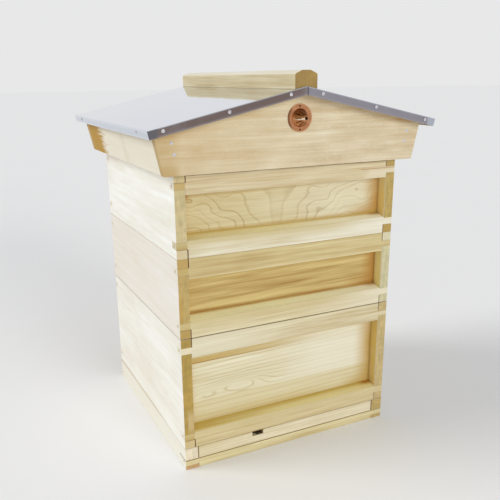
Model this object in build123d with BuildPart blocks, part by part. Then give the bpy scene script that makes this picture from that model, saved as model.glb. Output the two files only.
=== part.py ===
from build123d import *

import os
from math import cos, floor, radians, sin, tan

# A national beehive. Lengths are in millimetres, +Z is up, the entrance faces -Y,
# and the origin is on the ground under the middle of the hive.

# Boxes: outside plan, board thicknesses and heights
plan = 460.0
wall = 20.0
recess = 22.0
panel = 19.0
brood_height = 225.0
super_height = 150.0

# Rails of the boxes, and the fingers that lock them into the walls
top_rail_height = 38.0
bottom_rail_height = 32.0
weather_rise = 7.0
top_horn = 17.0
top_finger = 12.0
bottom_horn = 17.0
bottom_finger = 13.0
shoulder_gap = 0.4

# Hanging frames and the metal runners that carry them
bee_space = 11.2
lug = 38.2
lug_gap = 1.5
top_bar_width = 22.0
top_bar_depth = 10.0
side_bar_thickness = 10.0
side_bar_width = 22.0
spacer_width = 35.0
spacer_depth = 60.0
spacer_gap = 0.5
bottom_bar = 9.0
foundation = 2.0
brood_frame_lift = 9.0
super_frame_lift = 10.0
runner_sheet = 1.0
runner_rib = 7.0
runner_flange = 16.0
runner_end_gap = 1.0

# Nails of the boxes
nail_radius = 1.3
nail_length = 45.0
nail_head_radius = 2.8
nail_head = 1.2
nail_proud = 0.4

# Floor: rails, entrance block, mesh and inspection tray
floor_height = 45.0
floor_rail = 27.0
front_rail_height = 20.0
front_rail_depth = 34.0
front_horn = 8.0
back_rail_depth = 22.0
entrance_depth = 22.0
entrance_gap = 0.5
notch_width = 24.0
notch_height = 10.0
notch_offset = -75.0
mesh_sheet = 1.5
mesh_bite = 7.0
mesh_cells = 20
mesh_wire = 2.0
mesh_gap = 0.1
tray_sheet = 4.0
tray_height = 7.5
tray_bite = 6.0
tray_side_gap = 1.0
tray_headroom = 1.0
tray_grip_width = 90.0
tray_grip_depth = 12.0

# Queen excluder and crown board
excluder_sheet = 1.0
excluder_inset = 1.2
excluder_margin = 30.0
slot_width = 4.2
slot_length = 64.0
slot_pitch = 8.4
slot_bridge = 13.0
crown_ply = 6.0
crown_rim_width = 22.0
crown_rim_height = 9.0
crown_rim_gap = 0.3
escape_length = 90.0
escape_width = 32.0
escape_spread = 110.0

# Roof: leaning skirt, deck, folded sheet and ridge block
pitch = 12.5
roof_board = 16.0
gable_clearance = 4.0
side_clearance = 6.0
skirt_overlap = 2.0
skirt_depth = 70.0
deck = 10.0
deck_gap = 0.6
eave_overhang = 14.0
gable_overhang = 23.0
sheet = 0.8
fold_depth = 14.0
corner_block = 26.0
ridge_width = 44.0
ridge_height = 25.5
ridge_flat = 16.0
ridge_bevel = 6.0
ridge_round = 4.0
ridge_inset = 3.0

# Cone vents in the gables, and the nails of the roof
vent_radius = 24.3
vent_drop = 42.0
vent_sheet = 1.0
cone_radius = 16.0
cone_tip_radius = 4.0
cone_length = 21.5
cone_slots = 10
cone_slot_width = 1.6
cone_slot_inner = 6.5
cone_slot_outer = 13.0
sheet_nail_radius = 1.1
sheet_nail_length = 18.0
sheet_nail_head = 1.2
sheet_nail_head_radius = 3.0
sheet_nail_pitch = 116.5
sheet_nail_end = 31.0
eave_nail_end = 64.0
gable_nail_rows = 2
gable_nail_rise = 35.0
gable_nail_pitch = 19.0
gable_nail_length = 38.0
gable_nail_inset = 10.0

# Places that follow from the sizes above
half = plan / 2
inside = half - wall
panel_face = half - recess
panel_back = panel_face - panel
frame_span = 2 * (panel_back - bee_space)
lug_end = frame_span / 2 + lug
spacing = spacer_width + spacer_gap
frame_count = floor(2 * inside / spacing)
slope = radians(pitch)
FRONT, BACK = -1, 1
LEFT, RIGHT = -1, 1


def block(x, y, z, mode=Mode.ADD):
    """A square-edged piece between two values on each axis, given in any order."""
    size = [abs(b - a) for a, b in (x, y, z)]
    middle = [(a + b) / 2 for a, b in (x, y, z)]
    with Locations(tuple(middle)):
        Box(*size, mode=mode)


def row_of_blocks(places, size):
    """Equal square-edged pieces, one around each place."""
    with Locations(*places):
        Box(*size)


def drive_nails(heads, shank_radius, length, head_radius, head_depth):
    """Nails, each driven from the plane of its head's outer face along that plane's normal."""
    from_head = (Align.CENTER, Align.CENTER, Align.MIN)
    with Locations(*heads):
        Cylinder(head_radius, head_depth, align=from_head)
        Cylinder(shank_radius, length, align=from_head)


def save(piece, name):
    """Labels a finished piece and writes it to its own file."""
    piece.label = name
    export_step(piece, f"parts/{name}.step")


def box_levels(base, height):
    """Heights in one box: where rails, fingers, panel top and lugs start and stop."""
    top = base + height
    lug_under = top - top_bar_depth
    return {
        "base": base,
        "top": top,
        "lug_under": lug_under,
        "panel_top": lug_under - runner_rib - runner_sheet,
        "top_rail": top - top_rail_height,
        "top_finger": (top - top_horn - top_finger, top - top_horn),
        "bottom_finger": (base + bottom_horn, base + bottom_horn + bottom_finger),
    }


def box_nails(level):
    """Nails through both walls into the rail ends of one box."""
    rail_middle = half - recess / 2
    heads = [
        Plane((side * (half + nail_proud), end * rail_middle, sum(level[key]) / 2), z_dir=(-side, 0, 0))
        for side in (LEFT, RIGHT)
        for end in (FRONT, BACK)
        for key in ("top_finger", "bottom_finger")
    ]
    with BuildPart() as nails:
        drive_nails(heads, nail_radius, nail_length, nail_head_radius, nail_head)
    return nails.part


def box_wall(side, level, nails):
    """A plain side wall, its ends notched for the fingers of the rails."""
    with BuildPart() as board:
        block((side * inside, side * half), (-half, half), (level["base"], level["top"]))
        for end in (FRONT, BACK):
            for finger in (level["top_finger"], level["bottom_finger"]):
                block((side * inside, side * half), (end * panel_face, end * half), finger, Mode.SUBTRACT)
        add(nails, mode=Mode.SUBTRACT)
    return board.part


def box_panel(end, level):
    """The set-back panel that closes one end of a box and carries a frame runner."""
    with BuildPart() as board:
        block((-inside, inside), (end * panel_back, end * panel_face), (level["base"], level["panel_top"]))
    return board.part


def rail_fingers(end, finger):
    """The two fingers of a rail, flush with the outside of the walls."""
    reach = inside - shoulder_gap
    for side in (LEFT, RIGHT):
        block((side * reach, side * half), (end * panel_face, end * half), finger)


def top_rail(end, level, nails):
    """The rail over a hand grip, thinned behind its top to let the frame lugs in."""
    reach = inside - shoulder_gap
    with BuildPart() as rail:
        block((-reach, reach), (end * panel_face, end * half), (level["top_rail"], level["top"]))
        rebate = (end * panel_face, end * (lug_end + lug_gap))
        block((-reach, reach), rebate, (level["panel_top"], level["top"]), Mode.SUBTRACT)
        rail_fingers(end, level["top_finger"])
        add(nails, mode=Mode.SUBTRACT)
    return rail.part


def bottom_rails(level, nails):
    """Front and back rails under the hand grips, their tops sloped to shed rain."""
    reach = inside - shoulder_gap
    low = level["base"]
    high = low + bottom_rail_height
    with BuildPart() as rails:
        for end in (FRONT, BACK):
            with BuildSketch(Plane.YZ.offset(-reach)):
                with BuildLine():
                    Polyline(
                        (end * half, low),
                        (end * panel_face, low),
                        (end * panel_face, high + weather_rise),
                        (end * half, high),
                        close=True,
                    )
                make_face()
            extrude(amount=2 * reach)
            rail_fingers(end, level["bottom_finger"])
        add(nails, mode=Mode.SUBTRACT)
    return rails.part


def frame_runners(level):
    """Folded metal strips on the panel tops: the frame lugs sit on their upright edge."""
    reach = inside - runner_end_gap
    seat = level["panel_top"]
    rib = panel_face - runner_flange
    with BuildPart() as runners:
        for end in (FRONT, BACK):
            block((-reach, reach), (end * rib, end * panel_face), (seat, seat + runner_sheet))
            block((-reach, reach), (end * rib, end * (rib + runner_sheet)), (seat, level["lug_under"]))
    return runners.part


def frame_places():
    """The X places of the hanging frames, counted out from the middle of the box."""
    return [(number - (frame_count - 1) / 2) * spacing for number in range(frame_count)]


def top_bars(level):
    """The bars that hang on the runners, flush with the top of the box."""
    middle = level["top"] - top_bar_depth / 2
    with BuildPart() as bars:
        row_of_blocks([(x, 0, middle) for x in frame_places()], (top_bar_width, 2 * lug_end, top_bar_depth))
    return bars.part


def side_bars(level, lift):
    """End bars of the frames: wide at the top, so that the frames space themselves."""
    high = level["lug_under"]
    low = level["base"] + lift
    middle = frame_span / 2 - side_bar_thickness / 2
    spots = [(x, end * middle) for x in frame_places() for end in (FRONT, BACK)]
    with BuildPart() as bars:
        narrow = [(x, y, (low + high) / 2) for x, y in spots]
        row_of_blocks(narrow, (side_bar_width, side_bar_thickness, high - low))
        wide = [(x, y, high - spacer_depth / 2) for x, y in spots]
        row_of_blocks(wide, (spacer_width, side_bar_thickness, spacer_depth))
    return bars.part


def bottom_bars(level, lift):
    """Two thin bars under each frame, one on each side of the wax sheet."""
    middle = level["base"] + lift + bottom_bar / 2
    off = (foundation + bottom_bar) / 2
    length = frame_span - 2 * side_bar_thickness
    with BuildPart() as bars:
        spots = [(x + side * off, 0, middle) for x in frame_places() for side in (LEFT, RIGHT)]
        row_of_blocks(spots, (bottom_bar, length, bottom_bar))
    return bars.part


def wax_sheets(level, lift):
    """Foundation sheets, held between the side bars under each top bar."""
    low = level["base"] + lift
    high = level["lug_under"]
    with BuildPart() as wax:
        spots = [(x, 0, (low + high) / 2) for x in frame_places()]
        row_of_blocks(spots, (foundation, frame_span - 2 * side_bar_thickness, high - low))
    return wax.part


def save_box(name, base, height, frame_lift):
    """All pieces of one box with its set of frames."""
    level = box_levels(base, height)
    nails = box_nails(level)
    save(nails, f"{name}_nails")
    for side, word in ((LEFT, "left"), (RIGHT, "right")):
        save(box_wall(side, level, nails), f"{name}_{word}_wall")
    for end, word in ((FRONT, "front"), (BACK, "back")):
        save(box_panel(end, level), f"{name}_{word}_panel")
        save(top_rail(end, level, nails), f"{name}_{word}_top_rail")
    save(bottom_rails(level, nails), f"{name}_bottom_rails")
    save(frame_runners(level), f"{name}_frame_runners")
    save(top_bars(level), f"{name}_top_bars")
    save(side_bars(level, frame_lift), f"{name}_side_bars")
    save(bottom_bars(level, frame_lift), f"{name}_bottom_bars")
    save(wax_sheets(level, frame_lift), f"{name}_wax_sheets")


os.makedirs("parts", exist_ok=True)

# Levels of the stack, from the ground up
brood_base = floor_height
excluder_base = brood_base + brood_height
lower_super_base = excluder_base + excluder_sheet
upper_super_base = lower_super_base + super_height
crown_base = upper_super_base + super_height
roof_seat = crown_base + 2 * crown_rim_height + crown_ply

# Floor
floor_inside = half - floor_rail
mesh_base = front_rail_height
tray_top = tray_height + tray_sheet + tray_headroom
front_finger = (front_horn, front_rail_height)
front_rail_back = half - front_rail_depth
back_rail_face = half - back_rail_depth
mesh_half_width = floor_inside + mesh_bite
tray_half_width = floor_inside + tray_bite

for side, word in ((LEFT, "left"), (RIGHT, "right")):
    with BuildPart() as floor_side:
        block((side * floor_inside, side * half), (-half, half), (0, floor_height))
        block((side * floor_inside, side * half), (-half, -front_rail_back), front_finger, Mode.SUBTRACT)
        mesh_groove = (mesh_base, mesh_base + mesh_sheet)
        mesh_reach = (-half + entrance_depth, back_rail_face + mesh_bite)
        block((side * floor_inside, side * mesh_half_width), mesh_reach, mesh_groove, Mode.SUBTRACT)
        tray_groove_end = side * (tray_half_width + tray_side_gap)
        tray_groove = (-front_rail_back, half)
        block((side * floor_inside, tray_groove_end), tray_groove, (tray_height, tray_top), Mode.SUBTRACT)
    save(floor_side.part, f"floor_{word}_rail")

with BuildPart() as floor_front_rail:
    reach = floor_inside - shoulder_gap
    block((-reach, reach), (-half, -front_rail_back), (0, front_rail_height))
    block((-half, half), (-half, -front_rail_back), front_finger)
save(floor_front_rail.part, "floor_front_rail")

with BuildPart() as floor_back_rail:
    block((-floor_inside, floor_inside), (back_rail_face, half), (tray_top, floor_height))
    bite = (back_rail_face, back_rail_face + mesh_bite)
    block((-floor_inside, floor_inside), bite, (mesh_base, mesh_base + mesh_sheet), Mode.SUBTRACT)
save(floor_back_rail.part, "floor_back_rail")

# The mesh stands for woven wire, with fewer and larger cells than the real cloth:
# wires along the hive, and wires across it that lie on them
with BuildPart() as floor_mesh:
    mesh_front = -half + entrance_depth
    mesh_back = back_rail_face + mesh_bite
    mesh_length = mesh_back - mesh_front
    cell_x = (2 * mesh_half_width - mesh_wire) / mesh_cells
    cell_y = (mesh_length - mesh_wire) / mesh_cells
    wire_height = (mesh_sheet - mesh_gap) / 2
    steps = [number - mesh_cells / 2 for number in range(mesh_cells + 1)]
    mesh_middle = (mesh_front + mesh_back) / 2
    low_wire = mesh_base + wire_height / 2
    spots = [(step * cell_x, mesh_middle, low_wire) for step in steps]
    row_of_blocks(spots, (mesh_wire, mesh_length, wire_height))
    high_wire = mesh_base + mesh_sheet - wire_height / 2
    spots = [(0, mesh_middle + step * cell_y, high_wire) for step in steps]
    row_of_blocks(spots, (2 * mesh_half_width, mesh_wire, wire_height))
save(floor_mesh.part, "floor_mesh")

with BuildPart() as entrance_block:
    block_reach = floor_inside - entrance_gap
    block_top = floor_height - entrance_gap
    block((-block_reach, block_reach), (-half, -half + entrance_depth), (front_rail_height, block_top))
    notch_sides = (notch_offset - notch_width / 2, notch_offset + notch_width / 2)
    block(notch_sides, (-half, -half + entrance_depth), (block_top - notch_height, block_top), Mode.SUBTRACT)
save(entrance_block.part, "entrance_block")

with BuildPart() as inspection_tray:
    tray_front = -front_rail_back + tray_side_gap
    with BuildSketch(Plane.XY.offset(tray_height)):
        with Locations((0, (tray_front + half) / 2)):
            Rectangle(2 * tray_half_width, half - tray_front)
        with Locations((0, half - 2 * tray_grip_depth)):
            SlotOverall(tray_grip_width, tray_grip_depth, mode=Mode.SUBTRACT)
    extrude(amount=tray_sheet)
save(inspection_tray.part, "inspection_tray")

# Boxes with their frames
save_box("brood", brood_base, brood_height, brood_frame_lift)
save_box("lower_super", lower_super_base, super_height, super_frame_lift)
save_box("upper_super", upper_super_base, super_height, super_frame_lift)

# Queen excluder: slots that a worker passes and a queen does not
with BuildPart() as queen_excluder:
    excluder_side = plan - 2 * excluder_inset
    slotted = excluder_side - 2 * excluder_margin
    slot_columns = floor(slotted / slot_pitch)
    slot_rows = floor(slotted / (slot_length + slot_bridge))
    with BuildSketch(Plane.XY.offset(excluder_base)):
        Rectangle(excluder_side, excluder_side)
        with GridLocations(slot_pitch, slot_length + slot_bridge, slot_columns, slot_rows):
            Rectangle(slot_width, slot_length, mode=Mode.SUBTRACT)
    extrude(amount=excluder_sheet)
save(queen_excluder.part, "queen_excluder")

# Crown board: plywood with two escape holes, rims above and below
ply_base = crown_base + crown_rim_height
with BuildPart() as crown_board:
    with BuildSketch(Plane.XY.offset(ply_base)):
        Rectangle(plan, plan)
        with Locations((-escape_spread, 0), (escape_spread, 0)):
            SlotOverall(escape_length, escape_width, rotation=90, mode=Mode.SUBTRACT)
    extrude(amount=crown_ply)
save(crown_board.part, "crown_board")

with BuildPart() as crown_board_rims:
    rim_inside = half - crown_rim_width
    for rim_base in (crown_base, ply_base + crown_ply):
        rim = (rim_base, rim_base + crown_rim_height)
        for end in (FRONT, BACK):
            block((-half, half), (end * rim_inside, end * half), rim)
        for side in (LEFT, RIGHT):
            rim_reach = rim_inside - crown_rim_gap
            block((side * rim_inside, side * half), (-rim_reach, rim_reach), rim)
save(crown_board_rims.part, "crown_board_rims")

# Roof: the deck slopes both ways from the ridge, and the side boards stand square to it
skirt_bottom = crown_base - skirt_overlap
skirt_half = half + side_clearance + roof_board / cos(slope)
gable_back = half + gable_clearance
gable_face = gable_back + roof_board
deck_ridge = skirt_bottom + skirt_depth / cos(slope) + skirt_half * tan(slope)
skirt_top_half = skirt_half + skirt_depth * sin(slope)
skirt_top = skirt_bottom + skirt_depth * cos(slope)
board_run = skirt_top_half / cos(slope)
deck_run = board_run + eave_overhang
deck_end = gable_face + gable_overhang
sheet_top = deck + sheet
fold_bottom = sheet_top - fold_depth
vent_height = deck_ridge - vent_drop


def on_slope(side, run, rise):
    """A point in the XZ plane: run down the slope from the ridge, rise off the deck's underside."""
    x = run * cos(slope) + rise * sin(slope)
    return (side * x, deck_ridge - run * sin(slope) + rise * cos(slope))


def ridge_point(rise):
    """The point on the middle plane where both slopes meet at that rise."""
    return (0, deck_ridge + rise / cos(slope))


def ridge_cut(side, rise):
    """The same point, moved out to where that side's deck board is cut upright."""
    x = deck_gap / 2
    return (side * x, ridge_point(rise)[1] - x * tan(slope))


def skirt_point(side, height, inset):
    """A point of a leaning side board at a height, inset from its outer face."""
    x = skirt_half + (height - skirt_bottom) * tan(slope) - inset / cos(slope)
    return (side * x, height)


def profile(points, start, length):
    """Extrudes an XZ outline towards +Y from a given Y."""
    with BuildSketch(Plane.XZ.offset(-start)) as outline:
        with BuildLine():
            Polyline(*points, close=True)
        make_face()
    extrude(outline.sketch, amount=-length)


# Nails first, because every piece that they pass through is cut by them
sheet_nail_runs = []
while sheet_nail_end + len(sheet_nail_runs) * sheet_nail_pitch < deck_run:
    sheet_nail_runs.append(sheet_nail_end + len(sheet_nail_runs) * sheet_nail_pitch)
with BuildPart() as roof_sheet_nails:
    heads = []
    for side in (LEFT, RIGHT):
        for run in sheet_nail_runs:
            x, z = on_slope(side, run, deck / 2)
            for end in (FRONT, BACK):
                face = end * (deck_end + sheet + sheet_nail_head)
                heads.append(Plane((x, face, z), z_dir=(0, -end, 0)))
        x, z = on_slope(side, deck_run + sheet + sheet_nail_head, deck / 2)
        for y in (-deck_end + eave_nail_end, deck_end - eave_nail_end):
            heads.append(Plane((x, y, z), z_dir=(-side * cos(slope), 0, sin(slope))))
    drive_nails(heads, sheet_nail_radius, sheet_nail_length, sheet_nail_head_radius, sheet_nail_head)
save(roof_sheet_nails.part, "roof_sheet_nails")

with BuildPart() as gable_nails:
    heads = []
    for side in (LEFT, RIGHT):
        for row in range(gable_nail_rows):
            height = skirt_bottom + gable_nail_rise + row * gable_nail_pitch
            x, z = skirt_point(side, height, roof_board + gable_nail_inset)
            for end in (FRONT, BACK):
                heads.append(Plane((x, end * (gable_face + nail_proud), z), z_dir=(0, -end, 0)))
    drive_nails(heads, nail_radius, gable_nail_length, nail_head_radius, nail_head)
save(gable_nails.part, "roof_gable_nails")

for end, word in ((FRONT, "front"), (BACK, "back")):
    with BuildPart() as gable:
        start = gable_back if end == BACK else -gable_face
        outline = [skirt_point(LEFT, skirt_bottom, 0), (-skirt_top_half, skirt_top), ridge_point(0)]
        outline += [(skirt_top_half, skirt_top), skirt_point(RIGHT, skirt_bottom, 0)]
        profile(outline, start, roof_board)
        with BuildSketch(Plane.XZ.offset(-start)):
            with Locations((0, vent_height)):
                Circle(cone_radius - vent_sheet)
        extrude(amount=-roof_board, mode=Mode.SUBTRACT)
        add(gable_nails.part, mode=Mode.SUBTRACT)
    save(gable.part, f"roof_{word}_gable")

for side, word in ((LEFT, "left"), (RIGHT, "right")):
    with BuildPart() as side_board:
        outline = [skirt_point(side, skirt_bottom, 0), on_slope(side, board_run, 0)]
        outline += [on_slope(side, board_run - roof_board, 0), skirt_point(side, skirt_bottom, roof_board)]
        profile(outline, -gable_back, 2 * gable_back)
    save(side_board.part, f"roof_{word}_side")

with BuildPart() as corner_blocks:
    for side in (LEFT, RIGHT):
        foot = skirt_point(side, roof_seat, roof_board)
        inner = foot[0] - side * corner_block
        outline = [foot, on_slope(side, board_run - roof_board, 0)]
        outline += [(inner, deck_ridge - abs(inner) * tan(slope)), (inner, roof_seat)]
        for start in (-gable_back, gable_back - corner_block):
            profile(outline, start, corner_block)
    add(gable_nails.part, mode=Mode.SUBTRACT)
save(corner_blocks.part, "roof_corner_blocks")

with BuildPart() as roof_decks:
    for side in (LEFT, RIGHT):
        outline = [ridge_cut(side, 0), on_slope(side, deck_run, 0)]
        outline += [on_slope(side, deck_run, deck), ridge_cut(side, deck)]
        profile(outline, -deck_end, 2 * deck_end)
    add(roof_sheet_nails.part, mode=Mode.SUBTRACT)
save(roof_decks.part, "roof_decks")

edge_run = deck_run + sheet
with BuildPart() as roof_sheet:
    right_edge = [on_slope(RIGHT, edge_run, sheet_top), on_slope(RIGHT, edge_run, fold_bottom)]
    left_edge = [on_slope(LEFT, edge_run, fold_bottom), on_slope(LEFT, edge_run, sheet_top)]
    underside = [on_slope(RIGHT, deck_run, fold_bottom), on_slope(RIGHT, deck_run, deck), ridge_point(deck)]
    underside += [on_slope(LEFT, deck_run, deck), on_slope(LEFT, deck_run, fold_bottom)]
    outline = [ridge_point(sheet_top)] + right_edge + underside + left_edge
    profile(outline, -deck_end - sheet, 2 * (deck_end + sheet))
    flange = [ridge_point(sheet_top)] + right_edge + [ridge_point(fold_bottom)] + left_edge
    for start in (-deck_end - sheet, deck_end):
        profile(flange, start, sheet)
    add(roof_sheet_nails.part, mode=Mode.SUBTRACT)
save(roof_sheet.part, "roof_sheet")

with BuildPart() as ridge_block:
    ridge_top = ridge_point(sheet_top)[1]
    ridge_foot = ridge_top - ridge_width / 2 * tan(slope)
    shoulder = ridge_foot + ridge_height
    outline = [(0, ridge_top), (ridge_width / 2, ridge_foot), (ridge_width / 2, shoulder)]
    outline += [(ridge_flat / 2, shoulder + ridge_bevel), (-ridge_flat / 2, shoulder + ridge_bevel)]
    outline += [(-ridge_width / 2, shoulder), (-ridge_width / 2, ridge_foot)]
    block_end = deck_end + sheet - ridge_inset
    profile(outline, -block_end, 2 * block_end)
    long_edges = ridge_block.edges().filter_by(Axis.Y).group_by(Axis.Z)
    fillet(long_edges[-1] + long_edges[-2], radius=ridge_round)
save(ridge_block.part, "roof_ridge_block")

# Cone vents: a flange on the gable, a slotted cone and a small hole at its tip
with BuildPart() as vent_cones:
    lip = gable_face + vent_sheet
    tip = lip + cone_length
    inner_foot = cone_radius - vent_sheet
    inner_tip = cone_tip_radius - vent_sheet
    with BuildSketch(Plane.YZ):
        with BuildLine():
            Polyline(
                (-gable_face, vent_height + inner_foot),
                (-gable_face, vent_height + vent_radius),
                (-lip, vent_height + vent_radius),
                (-lip, vent_height + cone_radius),
                (-tip, vent_height + cone_tip_radius),
                (-tip, vent_height + inner_tip),
                (-lip, vent_height + inner_foot),
                close=True,
            )
        make_face()
    revolve(axis=Axis((0, 0, vent_height), (0, 1, 0)))
    slot_span = cone_slot_outer - cone_slot_inner
    with BuildSketch(Plane((0, -lip, vent_height), x_dir=(1, 0, 0), z_dir=(0, -1, 0))):
        with PolarLocations(cone_slot_inner + slot_span / 2, cone_slots):
            Rectangle(slot_span, cone_slot_width)
    extrude(amount=cone_length, mode=Mode.SUBTRACT)
    mirror(about=Plane.XZ)
save(vent_cones.part, "roof_vent_cones")
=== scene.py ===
from math import cos, pi, radians, sin, tan

import bpy
from mathutils import Matrix, Vector


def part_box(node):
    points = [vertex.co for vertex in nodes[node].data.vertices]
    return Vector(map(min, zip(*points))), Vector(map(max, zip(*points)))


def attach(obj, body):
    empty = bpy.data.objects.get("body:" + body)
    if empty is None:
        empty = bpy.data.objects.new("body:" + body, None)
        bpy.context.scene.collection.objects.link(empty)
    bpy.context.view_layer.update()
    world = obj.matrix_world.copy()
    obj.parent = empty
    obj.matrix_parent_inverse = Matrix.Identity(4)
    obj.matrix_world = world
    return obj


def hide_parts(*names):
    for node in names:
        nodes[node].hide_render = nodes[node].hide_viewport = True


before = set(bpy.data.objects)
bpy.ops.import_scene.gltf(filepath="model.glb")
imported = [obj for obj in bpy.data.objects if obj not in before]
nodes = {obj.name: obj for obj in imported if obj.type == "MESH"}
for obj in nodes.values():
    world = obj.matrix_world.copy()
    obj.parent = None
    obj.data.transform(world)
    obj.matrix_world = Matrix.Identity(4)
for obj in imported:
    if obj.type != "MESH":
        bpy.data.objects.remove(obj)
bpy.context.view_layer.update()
scene = bpy.context.scene

# Places on the hive that the finishes and small pieces share, in metres.
# Heights are over the ground, and each box has its foot and its top.
FLOOR_TOP = 0.045
BOXES = {"brood": (FLOOR_TOP, 0.27), "lower_super": (0.271, 0.421), "upper_super": (0.421, 0.571)}
BROOD_FOOT, BROOD_TOP = BOXES["brood"]
LOWER_FOOT, LOWER_TOP = BOXES["lower_super"]
UPPER_FOOT, UPPER_TOP = BOXES["upper_super"]
ENTRANCE_FOOT = 0.02
ENTRANCE_TOP = 0.0445
VENT_HEIGHT = 0.65465

# Outer and inner faces, from the middle of the hive
HALF = 0.23
INSIDE = 0.21
FLOOR_INSIDE = 0.203
VENT_FACE = 0.251

# Rises in a box: the walls' horns beside the rails, a hand grip over the foot and under the top,
# and the front edge of a bottom rail over the foot
HORN = 0.017
GRIP_FOOT = 0.039
GRIP_HEAD = 0.038
RAIL_EDGE = 0.032

ROOF_PITCH = radians(12.5)


def linear(rgb):
    """A colour written as 0 to 255 screen values, as a shader takes it."""
    steps = [c / 255 for c in rgb]
    return tuple(s / 12.92 if s <= 0.04045 else ((s + 0.055) / 1.055) ** 2.4 for s in steps) + (1,)


class Wire:
    """A shader socket that can be added, scaled and mixed like a number."""

    def __init__(self, tree, socket):
        self.tree = tree
        self.socket = socket

    def plug(self, target, value):
        """Puts a wire or a plain value into a node's socket."""
        if isinstance(value, Wire):
            self.tree.links.new(value.socket, target)
        else:
            target.default_value = value

    def add(self, kind, settings, sockets, output=0):
        """Adds one node, with its settings and what goes into its sockets."""
        node = self.tree.nodes.new("ShaderNode" + kind)
        for key, value in settings.items():
            setattr(node, key, value)
        for key, value in sockets.items():
            self.plug(node.inputs[key], value)
        return Wire(self.tree, node.outputs[output])

    def math(self, operation, *values):
        return self.add("Math", {"operation": operation}, dict(enumerate(values)))

    def __add__(self, other):
        return self.math("ADD", self, other)

    __radd__ = __add__

    def __sub__(self, other):
        return self.math("SUBTRACT", self, other)

    def __rsub__(self, other):
        return self.math("SUBTRACT", other, self)

    def __mul__(self, other):
        return self.math("MULTIPLY", self, other)

    __rmul__ = __mul__

    def __truediv__(self, other):
        return self.math("DIVIDE", self, other)

    def size(self):
        return self.math("ABSOLUTE", self)

    def root(self):
        return self.math("SQRT", self)

    def power_of_e(self):
        return self.math("EXPONENT", self)

    def part(self):
        return self.math("FRACT", self)

    def whole(self):
        return self.math("FLOOR", self)

    def clamp(self):
        return self.add("Clamp", {}, {"Value": self})

    def ramp(self, low, high):
        """0 below low, 1 above high, smooth between."""
        sockets = {"Value": self, "From Min": low, "From Max": high}
        return self.add("MapRange", {"interpolation_type": "SMOOTHSTEP"}, sockets)

    def drop(self, low, high):
        """1 below low, 0 above high, smooth between."""
        return 1 - self.ramp(low, high)

    def near(self, value, close, far):
        """1 closer than close to a value, 0 further than far, smooth between."""
        return (self - value).size().drop(close, far)

    def blend(self, first, second):
        """This share of the second colour over the first."""
        return self.add("Mix", {"data_type": "RGBA"}, {0: self, 6: first, 7: second}, 2)

    def spread(self, first, second):
        """The same, but shares below 0 and above 1 go on past the two colours."""
        settings = {"data_type": "RGBA", "clamp_factor": False, "clamp_result": True}
        return self.add("Mix", settings, {0: self, 6: first, 7: second}, 2)

    def noise(self, x, y, z, detail=2.0):
        """Soft noise about 0."""
        where = self.add("CombineXYZ", {}, {0: x, 1: y, 2: z})
        sockets = {"Vector": where, "Scale": 1.0, "Detail": detail, "Roughness": 0.55}
        return self.add("TexNoise", {}, sockets) - 0.5


class Surface:
    """A new material with its shader, and the place and facing of each point."""

    def __init__(self, name, constants):
        self.material = bpy.data.materials.new(name)
        self.material.use_nodes = True
        tree = self.material.node_tree
        self.shader = tree.nodes["Principled BSDF"]
        for socket, value in constants.items():
            self.shader.inputs[socket].default_value = value
        coordinates = tree.nodes.new("ShaderNodeTexCoord").outputs
        self.wire = Wire(tree, coordinates["Object"])
        self.place = self.split(coordinates["Object"])
        self.facing = self.split(coordinates["Normal"])

    def split(self, socket):
        tree = self.material.node_tree
        node = tree.nodes.new("ShaderNodeSeparateXYZ")
        tree.links.new(socket, node.inputs[0])
        return [Wire(tree, out) for out in node.outputs]

    def colour(self, value):
        self.wire.plug(self.shader.inputs["Base Color"], value)

    def roughness(self, value):
        self.wire.plug(self.shader.inputs["Roughness"], value)

    def bump(self, height, distance):
        bumped = self.wire.add("Bump", {}, {"Height": height, "Distance": distance, "Strength": 1.0})
        self.wire.plug(self.shader.inputs["Normal"], bumped)

    def upward(self):
        """1 on faces that look up."""
        return self.facing[2].ramp(0.4, 0.8)

    def upright(self):
        """1 on faces that look neither up nor down."""
        return self.facing[2].size().drop(0.4, 0.8)

    def inside(self, reach, soft, slide, along):
        """1 inside a box of the hive's frame, fading at its sides; slide moves it along one axis."""
        share = 1.0
        for axis, (low, high, *own) in enumerate(reach):
            fade = own[0] if own else soft
            value = self.place[axis] + slide if axis == along else self.place[axis]
            if low is not None:
                share = value.ramp(low - fade, low + fade) * share
            if high is not None:
                share = value.drop(high - fade, high + fade) * share
        return share


MATT = {"Specular IOR Level": 0.3}
METAL = {"Metallic": 1.0}

# For each way the grain can run: the axis along it, the one up the board and the one through it
AXES = {"X": (0, 2, 1), "Y": (1, 2, 0), "Z": (2, 0, 1)}


def layered(colour, *layers):
    """A colour with shares of other tints laid over it in turn."""
    for share, tint in layers:
        colour = share.blend(colour, linear(tint))
    return colour


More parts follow.
